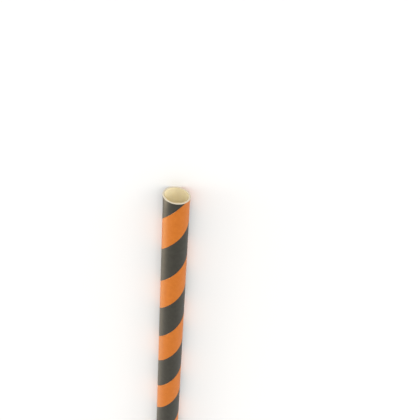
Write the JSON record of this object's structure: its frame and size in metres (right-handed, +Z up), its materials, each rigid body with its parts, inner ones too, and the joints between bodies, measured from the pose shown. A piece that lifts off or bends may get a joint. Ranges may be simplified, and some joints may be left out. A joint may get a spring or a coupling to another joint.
{
  "type": "drinking straw",
  "caption": "Spiral-wound paper drinking straw with helical orange and black stripes, a pale open bore and square-cut ends, lying on its side.",
  "frame": {"origin": "on the ground under the middle of the straw, which lies on its side", "axes": "+X along the straw towards the mouth that the picture shows, +Z up"},
  "size_m": [0.197, 0.006, 0.0059],
  "materials": {
    "printed_paper": "satin printed paper, orange and black helical stripes, bare cream paper inside"
  },
  "bodies": {
    "root": {"straw": "printed_paper"}
  },
  "joints": []
}
